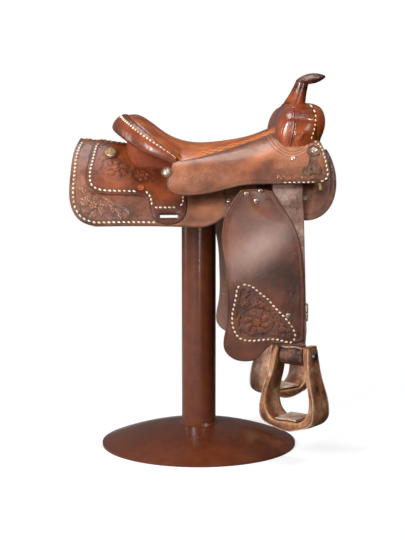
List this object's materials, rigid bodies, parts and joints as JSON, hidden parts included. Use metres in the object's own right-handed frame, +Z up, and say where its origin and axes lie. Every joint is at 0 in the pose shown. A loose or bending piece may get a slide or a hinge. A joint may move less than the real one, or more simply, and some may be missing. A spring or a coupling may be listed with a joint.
{
  "type": "saddle bar stool",
  "caption": "Western saddle seat with hanging fenders and stirrups, on a swivel, round steel column and domed floor base.",
  "frame": {"origin": "on the floor at the column's axis", "axes": "+Z up along the column, +X towards the saddle's horn, +Y to the saddle's left; the picture shows the -Y side"},
  "size_m": [0.669, 0.5482, 0.9696],
  "materials": {
    "painted_steel": "satin brown enamel",
    "plain_steel": "zinc plated",
    "sheet_steel": "galvanised",
    "tooled_leather": "tooled, semi-matt",
    "seat_leather": "worn smooth",
    "glossy_leather": "polished",
    "strap_leather": "dull, worn",
    "stirrup_leather_skin": "leather over bent hardwood",
    "fleece": "woolskin",
    "wood": "hardwood, unfinished",
    "silver": "engraved, polished",
    "brass": "aged"
  },
  "bodies": {
    "stand": {"base_dome": "painted_steel", "column": "painted_steel", "foot_weld": "painted_steel", "column_flange": "painted_steel", "swivel_lower_plate": "painted_steel", "swivel_balls": "plain_steel", "swivel_kingpin": "plain_steel", "swivel_bolts": "plain_steel"},
    "saddle": {"berry_conchos": "brass", "bracket_bolts": "plain_steel", "bracket_screws": "plain_steel", "cantle_back": "tooled_leather", "cantle_roll": "glossy_leather", "fork_cover": "glossy_leather", "fork_front": "glossy_leather", "ground_seat": "sheet_steel", "horn_cap_top": "glossy_leather", "horn_cap_under": "glossy_leather", "horn_core": "wood", "horn_wrap": "glossy_leather", "leather_buttons": "strap_leather", "leather_keepers": "strap_leather", "leather_rosettes": "strap_leather", "rear_jockey_left": "tooled_leather", "rear_jockey_right": "tooled_leather", "rigging_strap_left": "strap_leather", "rigging_strap_right": "strap_leather", "saddle_bracket": "painted_steel", "saddle_nails": "brass", "saddle_strings": "strap_leather", "seat": "seat_leather", "seat_jockey_left": "tooled_leather", "seat_jockey_right": "tooled_leather", "silver_conchos": "silver", "skirt_left": "tooled_leather", "skirt_lining_left": "fleece", "skirt_lining_right": "fleece", "skirt_right": "tooled_leather", "swivel_upper_plate": "painted_steel", "tree_bar_left": "wood", "tree_bar_right": "wood", "tree_cantle": "wood", "tree_fork": "wood"},
    "hanging_left": {"stirrup_leather_left": "strap_leather", "fender_left": "tooled_leather", "fender_rivets_left": "brass", "leather_buckle_left": "brass"},
    "stirrup_left": {"stirrup_left": "stirrup_leather_skin", "stirrup_tread_cover_left": "strap_leather", "stirrup_bolt_left": "plain_steel", "stirrup_roller_left": "plain_steel"},
    "hanging_right": {"stirrup_leather_right": "strap_leather", "fender_right": "tooled_leather", "fender_rivets_right": "brass", "leather_buckle_right": "brass"},
    "stirrup_right": {"stirrup_right": "stirrup_leather_skin", "stirrup_tread_cover_right": "strap_leather", "stirrup_bolt_right": "plain_steel", "stirrup_roller_right": "plain_steel"}
  },
  "joints": [
    {"name": "seat_swivel", "type": "hinge", "parent": "stand", "child": "saddle", "pos_m": [0, 0, 0.6515], "axis": [0, 0, 1], "continuous": true},
    {"name": "leather_swing_left", "type": "hinge", "parent": "saddle", "child": "hanging_left", "pos_m": [0.214, 0.17, 0.715], "axis": [0, -1, 0], "range_deg": [-12, 18]},
    {"name": "stirrup_pivot_left", "type": "hinge", "parent": "hanging_left", "child": "stirrup_left", "pos_m": [0.233, 0.193, 0.273], "axis": [0.7986, 0.6018, 0], "range_deg": [-30, 30]},
    {"name": "leather_swing_right", "type": "hinge", "parent": "saddle", "child": "hanging_right", "pos_m": [0.214, -0.17, 0.715], "axis": [0, -1, 0], "range_deg": [-12, 18]},
    {"name": "stirrup_pivot_right", "type": "hinge", "parent": "hanging_right", "child": "stirrup_right", "pos_m": [0.233, -0.193, 0.273], "axis": [0.7986, -0.6018, 0], "range_deg": [-30, 30]}
  ]
}
